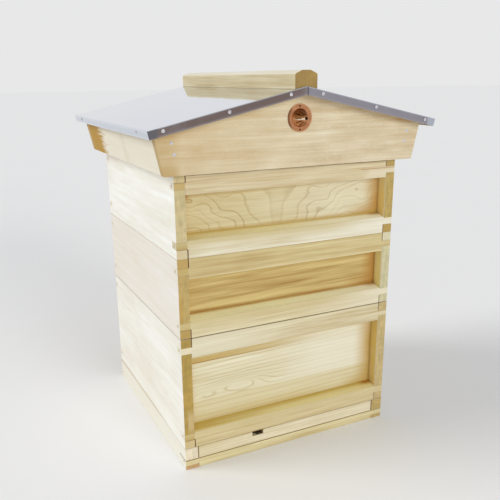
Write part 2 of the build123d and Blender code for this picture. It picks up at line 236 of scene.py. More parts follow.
def wood(name, grain, pale, line, end, pith, lean=(0.02, 0.02), ring=0.005, thin=0.3, lines=0.6,
         wander=0.004, skew=0.0, seed=0.0, streaks=0.8, bands=0.4, clouds=0.4, blotches=0.0, flecks=0.0,
         eyes=(), fan=None, top=None, stains_and_shade=()):
    """Sawn timber: growth rings round a leaning pith, fibres along the grain, end grain on the ends.

    pale, line and end colour its ground, its late wood and its end grain, and top paints the faces that
    look up lighter, a painted light.
    ring is the width of a year, and thin is the share of late wood in it.
    lines, streaks, bands, clouds, blotches and flecks say how strong each of these shows.
    eyes are swirls in the rings: place along and up, half length and height, strength.
    fan is a figure of arches: middle, height, rate and wobble."""
    board = Surface(name, MATT)
    one = board.wire
    along, up, deep = AXES[grain]
    run = board.place[along]
    shifted = run + seed
    rise = board.place[up] - run * skew
    depth = board.place[deep]

    def drawn(long, fine, offset=0.0, detail=2.0):
        """Noise drawn out along the grain."""
        through = depth * fine
        return one.noise(shifted * long, rise * fine, through + offset if offset else through, detail)

    pith_rise = rise - pith[0] - run * lean[0] + drawn(2.6, 6) * (wander * 2)
    pith_depth = depth - pith[1] - run * lean[1] + drawn(2.1, 5, 7.3) * (wander * 2)
    years = (pith_rise * pith_rise + pith_depth * pith_depth).root() / ring
    rings = years + one.noise(years * 0.35, seed, 0.0) * 1.6
    hearts = 1.0
    if fan:
        middle, height, rate, wobble = fan
        bend = one.noise(shifted * 20, rise * 32, seed, 0.6) * wobble
        reach = (run - middle).size()
        rings = rings + reach * (height - rise + bend) * rate
        hearts = reach.ramp(-0.01, 0.07)
    for eye_run, eye_rise, half_length, half_height, strength in eyes:
        across = (run - eye_run) / half_length
        above = (rise - eye_rise) / half_height
        bulge = ((across * across + above * above) * -1).power_of_e()
        rings = rings + bulge * strength
        hearts = bulge.drop(0.72, 0.92) * hearts
    phase = rings.part()
    year = one.add("TexWhiteNoise", {"noise_dimensions": "1D"}, {"W": rings.whole()})
    peak = 1 - 0.3 * thin
    late = phase.ramp(1 - thin, peak) * phase.drop(peak, 1) * (0.6 + year * 0.5) * hearts
    fibre = drawn(16, 700, detail=1)
    fine = drawn(9, 300)
    streak = drawn(4, 100)
    band = drawn(2.2, 34, 3.1)
    cloud = drawn(3, 12, seed)
    tone = late * lines + (phase + year - 1) * (lines * 0.15) + fibre * 0.4 + 0.15
    tone = tone + (streak + fine * 0.8) * streaks + band * (bands * 2) + cloud * clouds
    if blotches:
        tone = tone + drawn(13, 27, 1.7) * blotches
    colour = tone.spread(linear(pale), linear(line))
    if flecks:
        dash = drawn(110, 480, detail=1).ramp(0.1, 0.22) * flecks
        colour = layered(colour, (dash, [c * 0.55 + 110 for c in pale]))
    # Painted light: faces that look up take the lighter top tint
    if top:
        colour = layered(colour, ((board.upward() * (0.85 + streak)).clamp(), top))
    mottle = one.noise(shifted * 20, rise * 45, depth * 170)
    speck = drawn(90, 900, detail=1)
    ends = mottle * 1.5 + speck * 0.7 + late * 0.2 + cloud * 0.6 + 0.25
    cut = board.facing[along].size().ramp(0.55, 0.9)
    colour = cut.blend(colour, ends.spread(linear(end), linear([c * 0.82 for c in end])))
    # Patches laid over the wood: stains, and painted shade in hollows and under overhangs
    for overlay in stains_and_shade:
        ragged = overlay["ragged"]
        mask = board.inside(overlay["reach"], overlay["soft"], fibre * ragged, along if ragged else None)
        if overlay["face"] == "up":
            mask = mask * board.upward()
        if overlay["face"] == "side":
            mask = mask * board.upright()
        share = (mask * overlay["share"] * (cloud + fine * overlay["unevenness"] + 1)).clamp()
        colour = layered(colour, (share, overlay["tint"]))
    board.colour(colour)
    board.roughness((0.62 + fibre * 0.2 - late * 0.1).clamp())
    board.bump(fibre * 0.6 + late * 0.35 + streak * 0.3, 0.0004)
    return board.material


ALL = (None, None)


def patch(tint, x=ALL, y=ALL, z=ALL, soft=0.0004, share=0.85, ragged=0.0, face=None, unevenness=0.0):
    """A tint on part of a piece: its reach, the fade of its sides (or of one axis, as a third number),
    its share, how far it frays along the grain, which faces it lies on, and how uneven it is."""
    look = {"soft": soft, "share": share, "ragged": ragged, "face": face, "unevenness": unevenness}
    return {"tint": tint, "reach": (x, y, z), **look}


CREAM = (236, 229, 210)
STRAW = (220, 204, 160)
LINE_CREAM = (226, 217, 196)
LINE_TAN = (190, 164, 114)
END_TAN = (206, 186, 142)
END_PALE = (244, 239, 224)
# Ambers for painted shade: in the hand grips, and at the right corners of the ledges
AMBER = (190, 150, 80)
CORNER_AMBER = (172, 120, 42)
# A dark brown for gaps between pieces, also laid on as a painted shadow under the gable
DARK_GAP_AND_SHADE = (104, 68, 34)
JOINT_BROWN = (150, 118, 74)
# Painted shade inside the entrance notch
NOTCH_SHADE = (58, 40, 24)

# Reaches along Y: the front faces, and the front one of two rails
FRONT = (None, -0.2292)
FRONT_RAIL = (None, -0.2)


def shoulder_gaps(low=None, high=None):
    """The dark gaps where a rail's shoulders meet the walls, beside the walls' horns."""
    sides = ((-INSIDE - 0.0003, -INSIDE + 0.0018), (INSIDE - 0.0018, INSIDE + 0.0003))
    return [patch(DARK_GAP_AND_SHADE, x=side, y=FRONT, z=(low, high), share=0.95) for side in sides]


def left_finger(tint):
    """A tint on the front of a rail's finger, where it comes through the left wall."""
    return patch(tint, x=(None, -INSIDE), y=FRONT)


def joint(height):
    """The shaded edge of a piece along a joint between two boxes."""
    return patch(JOINT_BROWN, z=(height - 0.0008, height + 0.0008), soft=0.0003, share=0.6, face="side")


def floor_seam():
    """The brown line between the floor and the brood box, along the back of the left side."""
    reach = (FLOOR_TOP - 0.0018, FLOOR_TOP + 0.0018)
    return patch((176, 144, 80), y=(-0.1, None, 0.08), z=reach, share=0.8, face="side")


def finger_line(height):
    """The dark line along one side of a finger, on the end of a wall."""
    return patch(DARK_GAP_AND_SHADE, y=FRONT, z=(height - 0.0009, height + 0.0009), share=0.6, unevenness=1.5)


def ledge(foot, line, deep, left, corner, lip):
    """Painted shade on a bottom rail: a line by the panel that fades over the sloped top, wider at the
    left, and a dark right corner; and a deeper tone along the lip of the face below."""
    lip_reach = (foot + RAIL_EDGE - 0.011, None, 0.011)
    return [
        patch(line, y=(-0.209 - deep, 0, deep), share=0.95, face="up", unevenness=1.2),
        patch(line, x=(None, -0.1, 0.1), y=(-0.2275, 0, 0.003), share=left, face="up", unevenness=1.2),
        patch(STRAW, y=(0, None), share=0.7, face="up"),
        patch(CORNER_AMBER, x=(0.186, None, 0.014), y=(-0.217, 0, 0.006), share=corner, face="up"),
        patch(lip, x=(None, 0.13, 0.07), y=FRONT, z=lip_reach, share=0.75),
    ]


def recess(box, band, shade, share, low_shade, low_share, right=AMBER, right_from=0.188, fade=0.02):
    """The shade in a hand grip: warm by the walls, a band under the top rail and one over the ledge."""
    foot = BOXES[box][0] + GRIP_FOOT
    head = BOXES[box][1] - GRIP_HEAD
    return [
        patch(right, x=(right_from, None, fade), share=0.95),
        patch(right, x=(0.15, None, 0.03), z=(None, foot + 0.016, 0.014), share=0.6),
        patch(AMBER, x=(None, -0.203, 0.008), share=0.35),
        patch(low_shade, z=(None, foot + 0.005, 0.004), share=low_share, unevenness=1.5),
        patch(shade, z=(head - band * 0.45, None, 0.0016), share=share, unevenness=1.5),
        patch(shade, x=(None, 0.0, 0.16), z=(head - band, None, 0.0016), share=share, unevenness=1.5),
    ]


def hive_box(box, grip, left_pale, left_end, right_end, left_stains, right_stains):
    """The walls and hidden boards of one hive box, each cut from its own log."""
    foot, top = BOXES[box]
    middle = (foot + top) / 2
    edges = [joint(foot), joint(top)]
    # Painted shade on the walls' inner faces in the hand grips
    grip_shades = [
        patch(grip, x=(side - 0.001, side + 0.001), y=(-0.2285, -0.2075), share=0.8)
        for side in (-INSIDE, INSIDE)
    ]
    return {
        box + "_left_wall": wood(
            box + " left wall", "Y", left_pale, LINE_CREAM, left_end, (top + 0.35, -0.31), ring=0.016,
            thin=0.8, lines=0.12, wander=0.05, seed=foot, clouds=1.6, blotches=0.6,
            stains_and_shade=grip_shades + edges + left_stains),
        box + "_right_wall": wood(
            box + " right wall", "Y", CREAM, LINE_CREAM, right_end, (foot - 0.3, 0.3), ring=0.014,
            thin=0.7, lines=0.2, wander=0.04, seed=foot + 3, streaks=0.5, clouds=1.2, blotches=0.6,
            stains_and_shade=grip_shades + edges + right_stains),
        box + "_back_panel": wood(
            box + " back panel", "X", STRAW, LINE_TAN, END_TAN, (middle + 0.12 - foot * 0.5, 0.3),
            lean=(0.09 - foot * 0.3, 0.12), seed=foot * 9, lines=0.45,
            stains_and_shade=recess(box, band=0.012, shade=AMBER, share=0.4, low_shade=AMBER, low_share=0.4)),
        box + "_back_top_rail": wood(
            box + " back top rail", "X", STRAW, LINE_TAN, END_PALE, (top + 0.3, 0.5), ring=0.004,
            lines=0.25, seed=foot + 8),
    }


def front_top_rail(box, pale, line, pith_height, seed, stains_and_shade):
    """The rail over a front hand grip, with dark gaps at its shoulders."""
    gaps = shoulder_gaps(low=BOXES[box][1] - HORN)
    return wood(
        box.replace("_", " ") + " top rail", "X", pale, line, END_PALE, (pith_height, -0.3), ring=0.004,
        lines=0.15, seed=seed, streaks=1.7, blotches=0.6, stains_and_shade=stains_and_shade + gaps)


# Brood box
woods = hive_box(
    "brood", grip=(230, 197, 95), left_pale=(243, 240, 230), left_end=(184, 155, 82),
    right_end=(204, 182, 128),
    left_stains=[
        patch((214, 194, 148), y=FRONT, z=(None, BROOD_FOOT + HORN)),
        finger_line(BROOD_FOOT + HORN),
        patch((202, 178, 128), x=(-0.222, None, 0.002), y=FRONT, z=(0.08, 0.12, 0.012)),
        floor_seam(),
    ],
    right_stains=[finger_line(BROOD_FOOT)])
woods["brood_front_panel"] = wood(
    "brood front panel", "X", (228, 221, 191), (196, 178, 128), END_TAN, (0.42, -0.17), ring=0.0085,
    lines=0.65, wander=0.008, seed=1.0, streaks=0.7, bands=0.15, clouds=0.3,
    eyes=((-0.103, 0.146, 0.05, 0.013, 3.4), (-0.176, 0.141, 0.03, 0.011, 2.0)),
    stains_and_shade=[
        patch((213, 198, 149), z=(None, 0.128, 0.004), share=0.5),
        patch((198, 174, 104), x=(None, 0.05, 0.1), z=(None, 0.1, 0.012), share=0.4),
        patch((240, 236, 218), x=(0.02, None, 0.08), z=(0.128, None, 0.006), share=0.5),
        *recess("brood", band=0.0235, shade=(196, 168, 102), share=0.75, low_shade=(196, 168, 100),
                low_share=0.35, right=(192, 160, 90), right_from=0.187, fade=0.025),
        # Painted shadow: a brown line along the lower edge of the top rail's shadow band
        patch((150, 104, 48), x=(None, -0.02, 0.12), z=(0.2084, 0.2099), share=0.6, unevenness=2.0),
    ])
woods["brood_front_top_rail"] = front_top_rail(
    "brood", (217, 205, 169), (188, 165, 116), pith_height=0.36, seed=2.0,
    stains_and_shade=[
        patch((230, 225, 202), x=(None, -0.06, 0.1), share=0.5),
        left_finger((230, 219, 186)),
        joint(BROOD_TOP),
    ])
woods["brood_bottom_rails"] = wood(
    "brood bottom rails", "X", (213, 197, 152), (184, 160, 106), END_PALE, (0.16, -0.35), ring=0.004,
    lines=0.2, seed=3.0, streaks=1.4, blotches=0.5, top=(234, 217, 152),
    stains_and_shade=[
        left_finger((180, 146, 72)),
        joint(BROOD_FOOT),
        *ledge(BROOD_FOOT, line=(198, 168, 80), deep=0.0075, left=0.85, corner=1.1, lip=(208, 192, 144)),
        *shoulder_gaps(high=BROOD_FOOT + HORN),
    ])

# Lower super
woods.update(hive_box(
    "lower_super", grip=(250, 234, 145), left_pale=(236, 230, 219), left_end=(197, 171, 108),
    right_end=(212, 204, 162),
    left_stains=[
        patch((190, 160, 98), y=FRONT, z=(LOWER_TOP - HORN, None)),
        patch((182, 150, 84), y=FRONT, z=(None, LOWER_FOOT + HORN)),
        patch((186, 148, 70), x=(None, -0.222, 0.003), y=FRONT, z=(0.3, 0.352, 0.01), share=0.6),
        finger_line(LOWER_FOOT + HORN),
    ],
    right_stains=[patch((218, 210, 178), y=FRONT, z=(LOWER_TOP - HORN, None))]))
woods["lower_super_front_panel"] = wood(
    "lower super front panel", "X", (213, 190, 128), (160, 123, 54), END_TAN, (0.55, -0.18),
    lean=(0.0, 0.02), ring=0.021, thin=0.8, lines=0.2, wander=0.014, skew=0.02, seed=4.0, streaks=1.5,
    bands=1.1, clouds=0.6,
    stains_and_shade=recess("lower_super", band=0.008, shade=(160, 118, 56), share=0.5, low_shade=(158, 114, 46),
                  low_share=0.8, right=(180, 134, 68)))
woods["lower_super_front_top_rail"] = front_top_rail(
    "lower_super", (208, 190, 140), (178, 150, 92), pith_height=0.6, seed=5.0,
    stains_and_shade=[
        left_finger((194, 170, 108)),
        patch((228, 214, 170), z=(None, 0.3865, 0.002), share=0.35),
        joint(LOWER_TOP),
    ])
woods["lower_super_bottom_rails"] = wood(
    "lower super bottom rails", "X", (219, 207, 168), (190, 167, 114), END_PALE, (0.2, -0.32), ring=0.005,
    lines=0.15, seed=6.0, streaks=1.7, blotches=0.6, top=(246, 239, 188),
    stains_and_shade=[
        patch((238, 232, 210), x=(0.1, None, 0.12), y=FRONT_RAIL, share=0.5),
        left_finger((192, 167, 100)),
        joint(LOWER_FOOT),
        *ledge(LOWER_FOOT, line=(202, 170, 92), deep=0.003, left=0.1, corner=0.6, lip=(206, 189, 139)),
        *shoulder_gaps(high=LOWER_FOOT + HORN),
    ])

# Upper super
woods.update(hive_box(
    "upper_super", grip=(245, 211, 107), left_pale=(246, 245, 236), left_end=(213, 196, 148),
    right_end=(192, 166, 100),
    left_stains=[
        patch((212, 197, 158), y=FRONT, z=(None, UPPER_FOOT + HORN)),
        finger_line(UPPER_FOOT + HORN),
        finger_line(UPPER_TOP - HORN),
    ],
    right_stains=[patch((180, 148, 82), y=FRONT, z=(None, UPPER_FOOT + HORN))]))
woods["upper_super_front_panel"] = wood(
    "upper super front panel", "X", (223, 213, 176), (162, 132, 70), END_TAN, (0.05, -0.2),
    lean=(0.0, 0.0), ring=1.0, thin=0.25, lines=0.5, seed=9.1, streaks=0.4, bands=0.25, clouds=0.3,
    fan=(-0.022, 0.56, 400, 0.07),
    stains_and_shade=[
        patch((236, 230, 206), x=(0.05, 0.18, 0.06), share=0.4),
        patch((206, 186, 126), x=(None, -0.07, 0.07), share=0.3),
        *recess("upper_super", band=0.009, shade=(200, 172, 112), share=0.5, low_shade=(184, 150, 72),
                low_share=0.6, right=(190, 150, 84)),
        # Painted shade in the hand grip's top left corner
        patch((172, 122, 62), x=(None, -0.198), z=(0.522, None), soft=0.005, share=0.7),
    ])
woods["upper_super_front_top_rail"] = front_top_rail(
    "upper_super", (219, 205, 170), (190, 165, 116), pith_height=0.75, seed=8.0,
    stains_and_shade=[
        patch((232, 222, 196), x=(0.165, None), z=(None, 0.551), soft=0.003, share=0.5, ragged=0.06),
        patch((152, 96, 62), x=(0.15, None), z=(0.5512, 0.5524), soft=0.0005, share=0.6),
        # Painted shadow along the top of the rail, under the gable's lower edge
        patch(DARK_GAP_AND_SHADE, x=(-INSIDE, INSIDE), y=FRONT, z=(0.5652, None), face="side", unevenness=0.6),
        left_finger((194, 168, 108)),
    ])
woods["upper_super_bottom_rails"] = wood(
    "upper super bottom rails", "X", (228, 221, 196), (200, 182, 136), END_PALE, (0.5, -0.4), ring=0.005,
    lines=0.2, seed=9.0, streaks=1.7, blotches=0.7, top=(240, 228, 174),
    stains_and_shade=[
        patch((198, 182, 134), x=(None, -0.195, 0.03), y=FRONT_RAIL, share=0.55, unevenness=1.0),
        patch((240, 236, 220), x=(0.1, None, 0.1), y=FRONT_RAIL, share=0.4),
        patch((250, 244, 214), x=(0.03, None, 0.05), y=FRONT_RAIL, share=0.4, face="up"),
        left_finger((174, 146, 78)),
        *ledge(UPPER_FOOT, line=(214, 190, 116), deep=0.0045, left=0.4, corner=0.7, lip=(206, 190, 142)),
        *shoulder_gaps(high=UPPER_FOOT + HORN),
    ])

# Floor
woods["floor_left_rail"] = wood(
    "floor left rail", "Y", (237, 233, 219), LINE_CREAM, (236, 223, 194), (0.5, -0.3), ring=0.01, lines=0.2,
    streaks=0.5, blotches=0.4,
    stains_and_shade=[
        patch((190, 150, 92), y=FRONT, z=(None, 0.008)),
        joint(FLOOR_TOP),
        floor_seam(),
        patch(DARK_GAP_AND_SHADE, x=(-FLOOR_INSIDE - 0.0016, None), y=FRONT, z=(ENTRANCE_FOOT, None), share=0.7),
    ])
woods["floor_right_rail"] = wood(
    "floor right rail", "Y", CREAM, LINE_CREAM, (190, 166, 106), (0.5, 0.4), ring=0.01, lines=0.2,
    streaks=0.5, blotches=0.4,
    stains_and_shade=[
        joint(FLOOR_TOP),
        patch(DARK_GAP_AND_SHADE, x=(None, FLOOR_INSIDE + 0.0016), y=FRONT, z=(ENTRANCE_FOOT, None)),
    ])
woods["floor_front_rail"] = wood(
    "floor front rail", "X", (218, 204, 158), (188, 163, 108), END_PALE, (0.1, -0.33), ring=0.004,
    lines=0.2, seed=10, streaks=1.7, blotches=0.6,
    stains_and_shade=[patch((118, 88, 44), z=(ENTRANCE_FOOT - 0.0018, None), share=0.95, face="side")])
woods["floor_back_rail"] = wood(
    "floor back rail", "X", STRAW, LINE_TAN, END_TAN, (0.1, 0.4), ring=0.004, lines=0.3, seed=11)
woods["entrance_block"] = wood(
    "entrance block wood", "X", (229, 219, 188), (204, 185, 142), END_TAN, (0.16, -0.4), ring=0.004,
    lines=0.2, seed=12, streaks=1.4, blotches=0.5,
    stains_and_shade=[
        joint(ENTRANCE_TOP),
        # Painted shade at the top of the block's left part, under the brood box
        patch((206, 190, 144), x=(None, -0.15, 0.06), z=(0.034, None, 0.008), share=0.7),
        # Painted shade inside the entrance notch, starting further in at its left end
        patch(NOTCH_SHADE, x=(-0.0868, -0.0772), y=(-0.2205, None, 0.001), z=(0.0335, None)),
        patch(NOTCH_SHADE, x=(-0.0772, -0.0632), y=(-0.227, None, 0.001), z=(0.0335, None)),
    ])

# Roof and crown board
gable_stains_and_shade = [
    patch((204, 178, 128), x=(None, -0.04, 0.12), share=0.35),
    patch((188, 156, 98), x=(None, -0.23, 0.014), share=0.5, unevenness=1.0),
    # The next two are partly brown stain and partly painted shade under the sheet's fold, along the top
    # edges
    patch((186, 150, 92), x=(None, -0.19, 0.05), z=(0.632, None, 0.012), share=0.5, unevenness=1.5),
    patch((198, 150, 84), x=(0.2, None, 0.03), z=(0.64, None, 0.006), share=0.7, unevenness=1.5),
    patch((178, 144, 72), x=(None, -0.228, 0.009), z=(None, 0.582, 0.014), share=0.4),
    patch((188, 152, 94), x=(-0.205, -0.185, 0.012), z=(0.604, 0.612, 0.006), share=0.4),
]
for end, side in (("front", -1), ("back", 1)):
    woods["roof_%s_gable" % end] = wood(
        "roof %s gable" % end, "X", (221, 207, 176), (190, 162, 116), END_TAN, (0.42, side * 0.42),
        ring=0.012, thin=0.8, lines=0.1, seed=13 + side, streaks=1.1, bands=0.2, clouds=0.5,
        blotches=1.2, flecks=0.5, stains_and_shade=gable_stains_and_shade)
woods["roof_left_side"] = wood(
    "roof left side board", "Y", CREAM, LINE_CREAM, END_TAN, (0.8, -0.4), ring=0.006, lines=0.15, seed=15,
    streaks=0.6, blotches=0.5,
    stains_and_shade=[
        patch((184, 142, 50), y=(0.13, None), soft=0.02, share=1.3, ragged=0.16),
        patch((200, 186, 146), y=(-0.05, -0.03), soft=0.02, share=0.25),
    ])
woods["roof_right_side"] = wood(
    "roof right side board", "Y", CREAM, LINE_CREAM, END_TAN, (0.8, 0.4), ring=0.006, lines=0.2, seed=16,
    streaks=0.6, blotches=0.5)
woods["roof_ridge_block"] = wood(
    "ridge block wood", "Y", (221, 208, 171), (194, 172, 124), (170, 140, 82), (0.6, 0.06), ring=0.004,
    lines=0.2, seed=17, streaks=1.7, blotches=0.6, top=(236, 230, 212))
woods["roof_decks"] = wood(
    "roof deck wood", "Y", STRAW, LINE_TAN, END_TAN, (0.3, 0.0), lean=(0.03, 0.1), ring=0.006, seed=18)
woods["roof_corner_blocks"] = wood(
    "roof corner block wood", "Z", STRAW, LINE_TAN, END_TAN, (0.1, 0.1), ring=0.004, seed=19)
woods["crown_board_rims"] = wood(
    "crown rim wood", "X", STRAW, LINE_TAN, END_TAN, (0.4, 0.3), ring=0.004, lines=0.3, seed=20)

# Frames
for number, box in enumerate(BOXES):
    for bar, grain in (("top", "Y"), ("bottom", "Y"), ("side", "Z")):
        woods["%s_%s_bars" % (box, bar)] = wood(
            "%s %s bar wood" % (box, bar), grain, (228, 210, 164), LINE_TAN, END_TAN, (-0.3, -0.4),
            ring=0.003, lines=0.35, seed=21 + number)


def sheet_metal():
    """Mill finish sheet; its front and back folds are scuffed and painted darker than the top, more on the
    left, a painted reflection.
    """
    sheet = Surface("roof sheet", METAL)
    x, y, z = sheet.place
    one = sheet.wire
    rubbed = one.noise(x * 40, y * 9, z * 40)
    cloud = one.noise(x * 6, y * 5, z * 6)
    eave_bend = 0.2826
    ridge_bend = 0.002
    fold_foot = 0.6955
    fold_head = 0.7063
    # Painted shade: a darker line along the eave bends
    eave_shade = x.size().near(eave_bend, 0.0005, 0.0011) * 0.3
    top = (0.5 + cloud * 0.6 + rubbed * 0.3).clamp().blend(linear((230, 235, 244)), linear((220, 225, 235)))
    top = layered(top, (eave_shade, (190, 196, 206)))
    fall = z + x.size() * tan(ROOF_PITCH)
    left = x.drop(-0.01, 0.01)
    rim = fall.drop(fold_foot - 0.002, fold_foot + 0.002) * 0.5
    scuff = one.noise(x * 130, y * 20, fall * 500).ramp(0.14, 0.26) * (0.45 - left * 0.3)
    # Painted highlight: a light line along the top bend of the front and back folds
    bend = fall.ramp(fold_head - 0.0005, fold_head + 0.0005) * 0.6
    # Painted reflection: a lighter right end of the folds
    tip_reflection = x.ramp(0.2645, 0.2675) * 0.9
    # Painted shade: a dark left end of the folds
    left_end_shade = x.drop(-0.272, -0.262) * 0.7
    seam = x.near(ridge_bend, 0.0005, 0.0013) * 0.8
    # The folds' tones are a painted reflection: darker than the top, and darker on the left
    fold = layered(
        left.blend(linear((157, 152, 161)), linear((128, 112, 107))),
        (((cloud + rubbed) * 0.6).clamp(), (180, 178, 184)),
        (rim, (176, 172, 176)),
        (scuff, (206, 208, 214)),
        (bend, (206, 214, 222)),
        (tip_reflection, (190, 196, 208)),
        (left_end_shade, (104, 108, 116)),
        (seam, (66, 62, 64)))
    sheet.colour(sheet.facing[1].size().ramp(0.6, 0.9).blend(top, fold))
    sheet.roughness(0.055 + rubbed * 0.04 + cloud * 0.03)
    sheet.bump(rubbed * 0.4 + cloud, 0.0003)
    return sheet.material


def copper():
    """Spun copper; painted shade above on the cone and at the left of the rim, painted highlights on the
    cone and rim.
    """
    vent = Surface("vent copper", METAL)
    x, y, z = vent.place
    one = vent.wire
    rise = z - VENT_HEIGHT
    reach = (x * x + rise * rise).root()
    cloud = one.noise(x * 90, y * 90, z * 90)
    fine = one.noise(x * 500, y * 500, z * 500)
    cone_edge = 0.016
    rolled_edge = 0.0228
    cone = reach.drop(cone_edge - 0.0005, cone_edge + 0.0005)
    # Painted shade over the upper part of the cone
    upper_shade = cone * rise.ramp(0.0015, 0.007) * 0.75
    # Painted highlight: a strip along the left of the cone, level with its tip
    cone_highlight = cone * rise.near(-0.0006, 0.0006, 0.0028) * x.ramp(-0.0155, -0.0075) * x.drop(-0.003, 0.002)
    # Painted highlight along the rim
    rim_highlight = reach.ramp(rolled_edge - 0.0006, rolled_edge + 0.0006) * 0.6
    shade = reach.ramp(0.0195, 0.0225) * x.drop(-0.02, -0.013) * 0.8
    spun = (0.5 + cloud * 1.6 + fine * 0.5).clamp().blend(linear((214, 156, 112)), linear((176, 116, 78)))
    vent.colour(layered(
        spun,
        (upper_shade, (142, 88, 66)),
        (cone_highlight, (255, 236, 210)),
        (rim_highlight, (222, 172, 130)),
        (shade, (124, 82, 60))))
    vent.roughness(0.22 + fine * 0.16 + cloud * 0.2)
    vent.bump(cloud + fine * 0.4, 0.0003)
    return vent.material


def plain_metal(name, pale, dark, rough, scale, edge=None):
    """Worn metal; edge tints the faces that aren't turned up or down."""
    metal = Surface(name, METAL)
    x, y, z = metal.place
    cloud = metal.wire.noise(x * scale, y * scale, z * scale)
    fine = metal.wire.noise(x * scale * 12, y * scale * 12, z * scale * 12)
    colour = cloud.ramp(-0.15, 0.2).blend(linear(pale), linear(dark))
    if edge:
        colour = metal.facing[2].size().ramp(0.4, 0.6).blend(linear(edge), colour)
    metal.colour(colour)
    metal.roughness(rough + fine * 0.2)
    metal.bump(fine, 0.0002)
    return metal.material


def plywood():
    """Streaked faces, and layers in the edges."""
    ply = Surface("plywood", MATT)
    x, y, z = ply.place
    one = ply.wire
    pair_of_layers = 0.0015
    layer = (z / pair_of_layers).part().ramp(0.45, 0.55)
    streak = one.noise(x * 3, y * 26, z * 40)
    fibre = one.noise(x * 20, y * 600, z * 600, 1)
    face = (0.4 + streak * 1.2 + fibre * 0.3).clamp()
    face = face.blend(linear((228, 210, 166)), linear((200, 172, 120)))
    edge = layer.blend(linear((220, 198, 150)), linear((164, 130, 82)))
    ply.colour(ply.facing[2].size().ramp(0.5, 0.8).blend(edge, face))
    ply.roughness(0.62 + fibre * 0.2)
    ply.bump(fibre + streak * 0.3, 0.0003)
    return ply.material


def foundation_wax():
    """Wax sheet pressed with the bases of the cells."""
    wax = Surface("foundation wax", {
        "Specular IOR Level": 0.4, "Subsurface Weight": 0.15, "Subsurface Radius": (0.004, 0.002, 0.0008)})
    x, y, z = wax.place
    cell = 0.0053
    row = z / (cell * 0.866)
    shift = row.math("FLOORED_MODULO", row.whole(), 2.0) * 0.5
    hollow_y = (y / cell + shift).part() - 0.5
    hollow_z = row.part() - 0.5
    rim = (hollow_y * hollow_y + hollow_z * hollow_z).ramp(0.08, 0.24)
    cloud = wax.wire.noise(x * 8, y * 8, z * 8)
    wax.colour((rim * 0.6 + cloud * 0.7).clamp().blend(linear((200, 152, 66)), linear((230, 194, 110))))
    wax.roughness(0.42 + cloud * 0.2)
    wax.bump(rim, 0.0008)
    return wax.material


def tray_plastic():
    """White sheet plastic with a fine moulded grain."""
    tray = Surface("tray plastic", {"Specular IOR Level": 0.45})
    x, y, z = tray.place
    grain = tray.wire.noise(x * 300, y * 300, z * 300)
    cloud = tray.wire.noise(x * 9, y * 9, z * 9)
    tray.colour((0.5 + cloud).clamp().blend(linear((232, 232, 228)), linear((216, 217, 214))))
    tray.roughness(0.45 + grain * 0.2)
    tray.bump(grain, 0.0002)
    return tray.material


ZINC = {"pale": (196, 198, 202), "dark": (164, 167, 173), "rough": 0.38, "scale": 60}
galvanised = plain_metal("galvanised steel", **ZINC)
# Its upright edges are painted dark brown, a painted shade in the gap between the boxes
excluder_steel = plain_metal("excluder steel", **ZINC, edge=(72, 58, 44))
sheet_nail_steel = plain_metal("sheet nail steel", (240, 240, 244), (188, 186, 190), rough=0.3, scale=300)
wall_nail_steel = plain_metal("wall nail steel", (232, 220, 190), (208, 188, 148), rough=0.6, scale=300)
pin_copper = plain_metal("vent pin copper", (128, 78, 56), (84, 50, 38), rough=0.4, scale=300)
mesh_steel = plain_metal("mesh steel", (180, 182, 184), (140, 142, 146), rough=0.36, scale=120)
wax = foundation_wax()
finishes = {
    **woods,
    "roof_sheet": sheet_metal(),
    "roof_vent_cones": copper(),
    "crown_board": plywood(),
    "inspection_tray": tray_plastic(),
    "queen_excluder": excluder_steel,
    "floor_mesh": mesh_steel,
    "roof_sheet_nails": sheet_nail_steel,
    "roof_gable_nails": sheet_nail_steel,
}
for box in BOXES:
    finishes[box + "_wax_sheets"] = wax
    finishes[box + "_frame_runners"] = galvanised
    finishes[box + "_nails"] = wall_nail_steel

for name, node in nodes.items():
    node.data.materials.clear()
    node.data.materials.append(finishes[name])

EDGE_ROUND = 0.0007
LONG_EDGE = 0.00051
SHARP_EDGE = radians(35)


def mark_long_edges():
    """A node group that marks long sharp edges for rounding, which leaves out the rims of nail holes."""
    group = bpy.data.node_groups.new("long edges", "GeometryNodeTree")
    group.interface.new_socket("Mesh", in_out="INPUT", socket_type="NodeSocketGeometry")
    group.interface.new_socket("Mesh", in_out="OUTPUT", socket_type="NodeSocketGeometry")
    new = group.nodes.new
    link = group.links.new
    ends = new("GeometryNodeInputMeshEdgeVertices")
    length = new("ShaderNodeVectorMath")
    length.operation = "DISTANCE"
    link(ends.outputs["Position 1"], length.inputs[0])
    link(ends.outputs["Position 2"], length.inputs[1])
    is_long = new("FunctionNodeCompare")
    is_long.inputs["B"].default_value = LONG_EDGE
    link(length.outputs["Value"], is_long.inputs["A"])
    angle = new("GeometryNodeInputMeshEdgeAngle")
    is_sharp = new("FunctionNodeCompare")
    is_sharp.inputs["B"].default_value = SHARP_EDGE
    link(angle.outputs["Unsigned Angle"], is_sharp.inputs["A"])
    both = new("FunctionNodeBooleanMath")
    link(is_long.outputs[0], both.inputs[0])
    link(is_sharp.outputs[0], both.inputs[1])
    store = new("GeometryNodeStoreNamedAttribute")
    store.domain = "EDGE"
    store.inputs["Name"].default_value = "bevel_weight_edge"
    link(new("NodeGroupInput").outputs[0], store.inputs["Geometry"])
    link(both.outputs[0], store.inputs["Value"])
    link(store.outputs[0], new("NodeGroupOutput").inputs[0])
    return group


long_edges = mark_long_edges()


